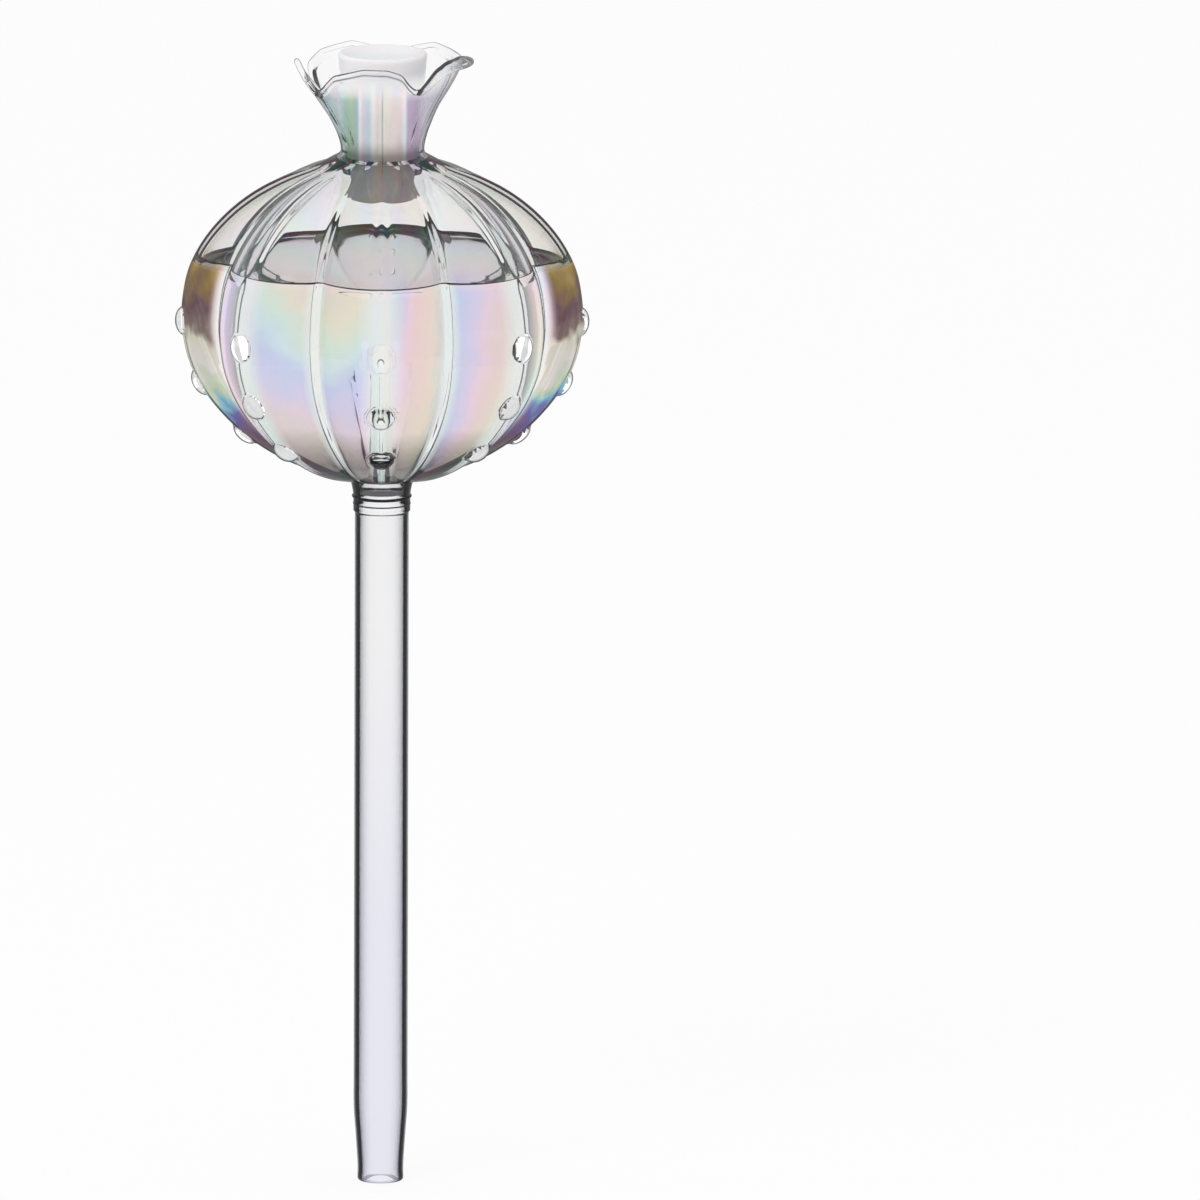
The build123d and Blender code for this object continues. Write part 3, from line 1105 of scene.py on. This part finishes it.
# The deep colours take over at the bulb's sides, by slant: partly the film's own colour, partly painted
# sheen
slant = add_node(
    lustre_glass,
    "ShaderNodeLayerWeight",
    None,
    {"Blend": 0.5, "Normal": round_normal(lustre_glass)},
).outputs["Facing"]
limb = add_node(
    lustre_glass,
    "ShaderNodeMapRange",
    {"interpolation_type": "SMOOTHSTEP"},
    {"Value": slant, "From Min": 0.64, "From Max": 0.72},
)
# Painted highlights: two paler strips down each flank, laid on by slant
painted_highlight_strips = set_stops(
    add_node(lustre_glass, "ShaderNodeValToRGB", None, {0: slant}),
    ((0.24, "#000000"), (0.32, "#c0c0c0"), (0.40, "#303030"), (0.48, "#c0c0c0"), (0.58, "#000000")),
)
pale_with_highlights = add_node(
    lustre_glass,
    "ShaderNodeMix",
    {"data_type": "RGBA"},
    {0: painted_highlight_strips, 6: pale, 7: srgb("#fafafa")},
)
coloured = add_node(
    lustre_glass,
    "ShaderNodeMix",
    {"data_type": "RGBA"},
    {0: limb.outputs[0], 6: pale_with_highlights.outputs[2], 7: deep},
)
# Painted shade: the bulb greys towards its foot
painted_foot_shade = set_stops(
    add_node(lustre_glass, "ShaderNodeValToRGB", None, {0: fall.outputs[0]}),
    ((0.0, "#ffffff"), (0.68, "#ffffff"), (0.79, "#cac9c6"), (0.88, "#9a9a98"), (1.0, "#bababa")),
)
below = add_node(
    lustre_glass,
    "ShaderNodeMix",
    {"data_type": "RGBA", "blend_type": "MULTIPLY"},
    {0: 1.0, 6: coloured.outputs[2], 7: painted_foot_shade},
)

# %% Lustre glass: where the film lies
# It is thick where the spray hit, on the belly and at the neck, and fades upwards
strength_ramp = add_node(
    lustre_glass,
    "ShaderNodeMapRange",
    None,
    {"Value": split["Z"], "From Min": 163 * MM, "From Max": 263 * MM},
)
strength = set_stops(
    add_node(lustre_glass, "ShaderNodeValToRGB", None, {0: strength_ramp.outputs[0]}),
    (
        (0.00, "#ffffff"),
        (0.49, "#ffffff"),
        (0.54, "#606060"),
        (0.70, "#505050"),
        (0.76, "#ffffff"),
        (0.87, "#e0e0e0"),
        (0.92, "#202020"),
        (1.00, "#101010"),
    ),
)
outside = add_node(lustre_glass, "ShaderNodeNewGeometry").outputs["Backfacing"]
entering = add_node(
    lustre_glass, "ShaderNodeMath", {"operation": "SUBTRACT"}, {0: 1.0, 1: outside}
)
from_crest = add_node(
    lustre_glass,
    "ShaderNodeMath",
    {"operation": "PINGPONG"},
    {0: turn.outputs[0], 1: HALF_LOBE},
)
across_pane = add_node(
    lustre_glass,
    "ShaderNodeMath",
    {"operation": "DIVIDE"},
    {0: from_crest.outputs[0], 1: HALF_LOBE},
)
pane = set_stops(
    add_node(lustre_glass, "ShaderNodeValToRGB", None, {0: across_pane.outputs[0]}),
    ((0.08, "#404040"), (0.32, "#ffffff"), (0.82, "#ffffff"), (0.95, "#606060")),
)
pane_or_limb = add_node(
    lustre_glass, "ShaderNodeMath", {"operation": "MAXIMUM"}, {0: pane, 1: limb.outputs[0]}
)
on_pane = add_node(
    lustre_glass,
    "ShaderNodeMath",
    {"operation": "MULTIPLY"},
    {0: strength, 1: pane_or_limb.outputs[0]},
)

# %% Lustre glass: the colours of the neck
across_neck = add_node(
    lustre_glass,
    "ShaderNodeMapRange",
    None,
    {"Value": split["X"], "From Min": -9.6 * MM, "From Max": 9.6 * MM},
)
neck_colours = set_stops(
    add_node(lustre_glass, "ShaderNodeValToRGB", None, {0: across_neck.outputs[0]}),
    (
        (0.00, "#c4d2d8"),
        (0.07, "#a9c8bc"),
        (0.14, "#b8d2b4"),
        (0.20, "#b2ccd0"),
        (0.235, "#ffffff"),
        (0.27, "#ebe4f0"),
        (0.34, "#d8e4ec"),
        (0.39, "#fdfbfd"),
        (0.44, "#f2ede8"),
        (0.485, "#f8f4ec"),
        (0.50, "#c2beb8"),
        (0.515, "#f8f4ec"),
        (0.60, "#fbf0ea"),
        (0.71, "#f8e8ea"),
        (0.765, "#ffffff"),
        (0.80, "#d2bfda"),
        (0.90, "#c2b0ca"),
        (1.00, "#d2cad8"),
    ),
)
neck_height = add_node(
    lustre_glass,
    "ShaderNodeMapRange",
    None,
    {"Value": split["Z"], "From Min": 233 * MM, "From Max": 263 * MM},
)
on_neck = set_stops(
    add_node(lustre_glass, "ShaderNodeValToRGB", None, {0: neck_height.outputs[0]}),
    ((0.0, "#000000"), (0.13, "#ffffff"), (0.62, "#ffffff"), (0.80, "#000000")),
)
two_sprays = add_node(
    lustre_glass,
    "ShaderNodeMix",
    {"data_type": "RGBA"},
    {0: on_neck, 6: below.outputs[2], 7: neck_colours},
)
neck_or_pane = add_node(
    lustre_glass, "ShaderNodeMath", {"operation": "MAXIMUM"}, {0: on_pane.outputs[0], 1: on_neck}
)
amount = add_node(
    lustre_glass,
    "ShaderNodeMath",
    {"operation": "MULTIPLY"},
    {0: entering.outputs[0], 1: neck_or_pane.outputs[0]},
)
sprayed = add_node(
    lustre_glass,
    "ShaderNodeMix",
    {"data_type": "RGBA"},
    {0: amount.outputs[0], 6: srgb("#ffffff"), 7: two_sprays.outputs[2]},
)

# %% Lustre glass: its painted edge shade, its film and its painted glow
lustre_edge_shade = painted_edge_shade(
    lustre_glass,
    ((0.0, "#ffffff"), (0.78, "#f8f8f8"), (0.87, "#8c8c90"), (0.92, "#323236"), (1.0, "#323236")),
)
# The mouth's wall is thinner, so its painted edge shade is paler, and paler still in its folds
thin_wall = add_node(
    lustre_glass,
    "ShaderNodeMapRange",
    None,
    {"Value": split["Z"], "From Min": 238 * MM, "From Max": 246 * MM, "To Min": 1.0, "To Max": 0.45},
)
tint = add_node(
    lustre_glass,
    "ShaderNodeMix",
    {"data_type": "RGBA", "blend_type": "MULTIPLY"},
    {0: thin_wall.outputs[0], 6: sprayed.outputs[2], 7: lustre_edge_shade},
)
film = add_node(
    lustre_glass,
    "ShaderNodeMapRange",
    {"clamp": False},
    {"Value": phase.outputs[0], "To Min": 330.0, "To Max": 560.0},
)
# Painted light: the bulb's sides below the water line, and the petals faintly, glow in the film's colours,
# up to 72 % of the shader
painted_glow = add_node(
    lustre_glass,
    "ShaderNodeMapRange",
    {"interpolation_type": "SMOOTHSTEP"},
    {"Value": slant, "From Min": 0.28, "From Max": 0.42, "To Max": 0.72},
)
below_neck = add_node(
    lustre_glass, "ShaderNodeMath", {"operation": "LESS_THAN"}, {0: split["Z"], 1: WATER_LEVEL}
)
painted_glow_outside = add_node(
    lustre_glass,
    "ShaderNodeMath",
    {"operation": "MULTIPLY"},
    {0: entering.outputs[0], 1: painted_glow.outputs[0]},
)
bulb_painted_glow = add_node(
    lustre_glass,
    "ShaderNodeMath",
    {"operation": "MULTIPLY"},
    {0: painted_glow_outside.outputs[0], 1: below_neck.outputs[0]},
)
petal_height = add_node(
    lustre_glass,
    "ShaderNodeMapRange",
    None,
    {"Value": split["Z"], "From Min": 245 * MM, "From Max": 251 * MM, "To Max": 0.12},
)
petal_painted_glow = add_node(
    lustre_glass,
    "ShaderNodeMath",
    {"operation": "MULTIPLY"},
    {0: petal_height.outputs[0], 1: entering.outputs[0]},
)
painted_glow_amount = add_node(
    lustre_glass,
    "ShaderNodeMath",
    {"operation": "MAXIMUM"},
    {0: bulb_painted_glow.outputs[0], 1: petal_painted_glow.outputs[0]},
)
finish_glass(
    lustre_glass,
    tint.outputs[2],
    GLASS_IOR,
    (painted_glow_amount.outputs[0], tint.outputs[2]),
    Thin_Film_Thickness=film.outputs[0],
    Thin_Film_IOR=1.7,
)

# %% [markdown]
# ## Water and silicone
#
# Water bends light by 1.333 and has almost no colour at this depth. Where it climbs the
# wall it is a narrow steep band that one looks along, and that draws its dark outline,
# which is painted shade, a grey tint on the band.
# Silicone rubber is milky: light goes a few millimetres into it and comes out soft. Its
# lower end sits in the shade of the neck, painted in as a warm grey, and a band along the
# neck has a painted glow of its own.

# %% Clear water
water_look = new_material("clear_water")
add_node(
    water_look,
    "ShaderNodeOutputMaterial",
    None,
    {
        "Surface": add_node(
            water_look,
            "ShaderNodeBsdfPrincipled",
            None,
            {"Base Color": srgb("#fcfdff"), "Roughness": 0.0, "IOR": WATER_IOR, "Transmission Weight": 1.0},
        ).outputs[0]
    },
)

# Painted shade: the turned-up edge of the water is tinted grey all round
water_edge_shade = new_material("water_at_the_wall")
finish_glass(water_edge_shade, painted_edge_shade(water_edge_shade, ((0.0, "#8c8c92"), (1.0, "#55555c"))), WATER_IOR)
MENISCUS_ROWS = 4
turned_up = np.zeros(len(water.data.polygons), int)
wall_row = (len(foot) + len(body)) * len(thetas)
turned_up[wall_row : wall_row + MENISCUS_ROWS * len(thetas)] = 1
print("the water's edge is", turned_up.sum(), "faces")

# %% White silicone rubber of the stopper
silicone = new_material("white_silicone_rubber")
height_up = add_node(
    silicone,
    "ShaderNodeSeparateXYZ",
    None,
    {0: add_node(silicone, "ShaderNodeTexCoord").outputs["Object"]},
)
depth_in_neck = add_node(
    silicone,
    "ShaderNodeMapRange",
    None,
    {"Value": height_up.outputs["Z"], "From Min": 234 * MM, "From Max": 242 * MM},
)
# Painted shade: warm grey at the end in the neck, white above
painted_end_shade = set_stops(
    add_node(silicone, "ShaderNodeValToRGB", None, {0: depth_in_neck.outputs[0]}),
    ((0.0, "#c4bbb5"), (1.0, "#e6e6e9")),
)
# Painted light: the stopper glows white of its own, most along the neck
painted_glow_height = add_node(
    silicone,
    "ShaderNodeMapRange",
    None,
    {"Value": height_up.outputs["Z"], "From Min": 234 * MM, "From Max": 264 * MM},
)
painted_glow_share = set_stops(
    add_node(silicone, "ShaderNodeValToRGB", None, {0: painted_glow_height.outputs[0]}),
    ((0.0, "#000000"), (0.13, "#2a2a2a"), (0.25, "#b4b4b4"), (0.62, "#b4b4b4"), (0.76, "#4c4c4c")),
)
add_node(
    silicone,
    "ShaderNodeOutputMaterial",
    None,
    {
        "Surface": add_node(
            silicone,
            "ShaderNodeBsdfPrincipled",
            None,
            {
                "Base Color": painted_end_shade,
                "Emission Color": srgb("#ffffff"),
                "Emission Strength": painted_glow_share,
                "Roughness": 0.45,
                "IOR": 1.41,
                "Subsurface Weight": 0.3,
                "Subsurface Scale": 0.004,
            },
        ).outputs[0]
    },
)
print("material", silicone.name)

# %% Give each piece its materials
for piece, looks in (
    (vessel, (lustre_glass, inner_glass, laid_glass, rim_glass)),
    (stem, (clear_glass, inner_glass, collar_glass, pressed_ring_shade_glass)),
    (water, (water_look, water_edge_shade)),
    (stopper, (silicone,)),
):
    for look in looks:
        piece.data.materials.append(look)

# %% Which faces of the vessel are inner faces, and which are laid on
LUSTRE, BARE, LAID, RIM_LOOK = range(4)
RIM_ROWS_OUTSIDE = 7
RIM_ROWS_INSIDE = 14
CREASE_SHARE = 0.9
LEAST_DROP = 0.05 * MM
rows = len(outer_rows) - 1
rim_row = rows + MOUTH_ROWS
looks = np.full((len(vessel.data.polygons) // len(thetas), len(thetas)), BARE)
looks[:rim_row] = LUSTRE
relief = np.array(
    [
        applied_glass(i / (OUTER_ROWS - 1), crest_length, crest, offsets)
        for i, crest in enumerate(outer_line[:, 0])
    ]
)
looks[:rows][relief[:-1] > TRAIL_RELIEF + LEAST_DROP] = LAID
looks[:rows, HALF_LOBE - np.abs(offsets) < CREASE_HALF_WIDTH * CREASE_SHARE] = BARE
looks[rim_row - RIM_ROWS_OUTSIDE : rim_row + RIM_ROWS_INSIDE] = RIM_LOOK
vessel.data.polygons.foreach_set("material_index", looks.ravel())

water.data.polygons.foreach_set("material_index", turned_up)
print("laid on:", (looks == LAID).sum(), "faces, rim:", (looks == RIM_LOOK).sum(), "faces")

# %% Which faces of the stem are the collar and its rings
CLEAR, BARE, COLLAR, PRESSED = range(4)
stem_rows = len(stem.data.polygons) // TURNED_COLUMNS
stem_looks = np.full((stem_rows, TURNED_COLUMNS), CLEAR)
stem_looks[len(collar_line) + len(stem_outside) + len(tip_turn) :] = BARE
stem_looks[: len(collar_line)] = COLLAR
for centre, size in COLLAR_RINGS:
    on_ring = np.abs(collar_levels - centre) * collar_height < size
    stem_looks[COLLAR_TOP_ROWS + np.flatnonzero(on_ring)] = PRESSED
print("pressed rings:", (stem_looks == PRESSED).sum(), "faces")
stem.data.polygons.foreach_set("material_index", stem_looks.ravel())

# %% [markdown]
# ## Studio
#
# Clear glass is photographed on white, with dark surfaces just out of the picture. Light
# that comes straight through stays white, and light that was thrown sideways inside the
# wall comes from the dark, which draws the edges. Cards would have to be moved for every
# side the globe is seen from. The shaders below do their work for all sides at once: what
# a ray meets is dark where it was reflected inside the glass before.

# %% Floor
FLOOR_SIDE = 6.0
floor_mesh = bpy.data.meshes.new("floor")
corners = ((-1, -1), (1, -1), (1, 1), (-1, 1))
floor_mesh.from_pydata(
    [(x * FLOOR_SIDE, y * FLOOR_SIDE, 0) for x, y in corners],
    [],
    [(0, 1, 2, 3)],
)
floor = bpy.data.objects.new("floor", floor_mesh)
bpy.context.scene.collection.objects.link(floor)
print("floor", 2 * FLOOR_SIDE, "m wide")

# %% How bright the surroundings are to each kind of ray
# Plain light for the colours, grey for the gloss, white for what is seen through the glass
PLAIN_LEVEL = 0.8
GLOSS_LEVEL = 0.35
# What is left of that white once a ray was reflected inside, and at a wall's plain edge
FLAG = 0.10
EDGE_FLAG = 0.80
# A ray that met no more faces than one wall has, and one that was thrown about many times
WALL_DEPTH = 2.5


def studio_level(owner):
    """Brightness of the surroundings: white to the eye, dark to light thrown sideways."""
    path = add_node(owner, "ShaderNodeLightPath").outputs
    seen = add_node(
        owner,
        "ShaderNodeMath",
        {"operation": "MAXIMUM"},
        {0: path["Is Camera Ray"], 1: path["Is Transmission Ray"]},
    )
    unseen = add_node(
        owner,
        "ShaderNodeMapRange",
        None,
        {"Value": path["Is Glossy Ray"], "To Min": PLAIN_LEVEL, "To Max": GLOSS_LEVEL},
    )
    level = add_node(
        owner,
        "ShaderNodeMapRange",
        None,
        {"Value": seen.outputs[0], "To Min": unseen.outputs[0], "To Max": 1.0},
    )
    through = add_node(
        owner,
        "ShaderNodeMath",
        {"operation": "MULTIPLY", "use_clamp": True},
        {0: path["Glossy Depth"], 1: path["Is Transmission Ray"]},
    )
    wall_only = add_node(
        owner,
        "ShaderNodeMath",
        {"operation": "LESS_THAN"},
        {0: path["Transmission Depth"], 1: WALL_DEPTH},
    )
    scattered = add_node(
        owner,
        "ShaderNodeMath",
        {"operation": "GREATER_THAN"},
        {0: path["Glossy Depth"], 1: WALL_DEPTH},
    )
    spared = add_node(
        owner,
        "ShaderNodeMath",
        {"operation": "MAXIMUM"},
        {0: wall_only.outputs[0], 1: scattered.outputs[0]},
    )
    flag = add_node(
        owner,
        "ShaderNodeMapRange",
        None,
        {"Value": spared.outputs[0], "To Min": FLAG, "To Max": EDGE_FLAG},
    )
    dark = add_node(
        owner,
        "ShaderNodeMapRange",
        None,
        {"Value": through.outputs[0], "To Min": 1.0, "To Max": flag.outputs[0]},
    )
    shade = add_node(
        owner,
        "ShaderNodeMath",
        {"operation": "MULTIPLY"},
        {0: level.outputs[0], 1: dark.outputs[0]},
    )
    looked_at = add_node(
        owner,
        "ShaderNodeMath",
        {"operation": "MAXIMUM"},
        {0: seen.outputs[0], 1: path["Is Glossy Ray"]},
    )
    return looked_at.outputs[0], shade.outputs[0]


# %% White paper sweep of the floor
# Part of it is lit paper, which keeps the shadow, and the rest is plain white
floor_look = new_material("white_sweep")
seen, level = studio_level(floor_look)
lit = add_node(floor_look, "ShaderNodeBsdfDiffuse", None, {"Color": srgb("#f4f4f4")})
glow = add_node(floor_look, "ShaderNodeEmission", None, {"Strength": level})
share = add_node(floor_look, "ShaderNodeMath", {"operation": "MULTIPLY"}, {0: seen, 1: 0.9})
mix = add_node(
    floor_look,
    "ShaderNodeMixShader",
    None,
    {0: share.outputs[0], 1: lit.outputs[0], 2: glow.outputs[0]},
)
add_node(floor_look, "ShaderNodeOutputMaterial", None, {"Surface": mix.outputs[0]})
floor_mesh.materials.append(floor_look)
print("material", floor_look.name)

# %% World and lamp
world = bpy.data.worlds.new("studio")
bpy.context.scene.world = world
world.use_nodes = True
world.node_tree.nodes.clear()
seen, level = studio_level(world)
sky = add_node(world, "ShaderNodeBackground", None, {"Color": srgb("#ffffff"), "Strength": level})
add_node(world, "ShaderNodeOutputWorld", None, {"Surface": sky.outputs[0]})

key_data = bpy.data.lights.new("key", "AREA")
key_data.energy = 12
key_data.size = 1.0
key = bpy.data.objects.new("key", key_data)
key.location = (-0.8, -1.2, 1.6)
key.rotation_euler = (math.radians(50), 0, math.radians(-34))
key.visible_glossy = False
key.visible_transmission = False
bpy.context.scene.collection.objects.link(key)

bpy.context.scene.view_settings.view_transform = "Standard"
print("one soft lamp of", key_data.energy, "W, which only the stopper and the floor show")
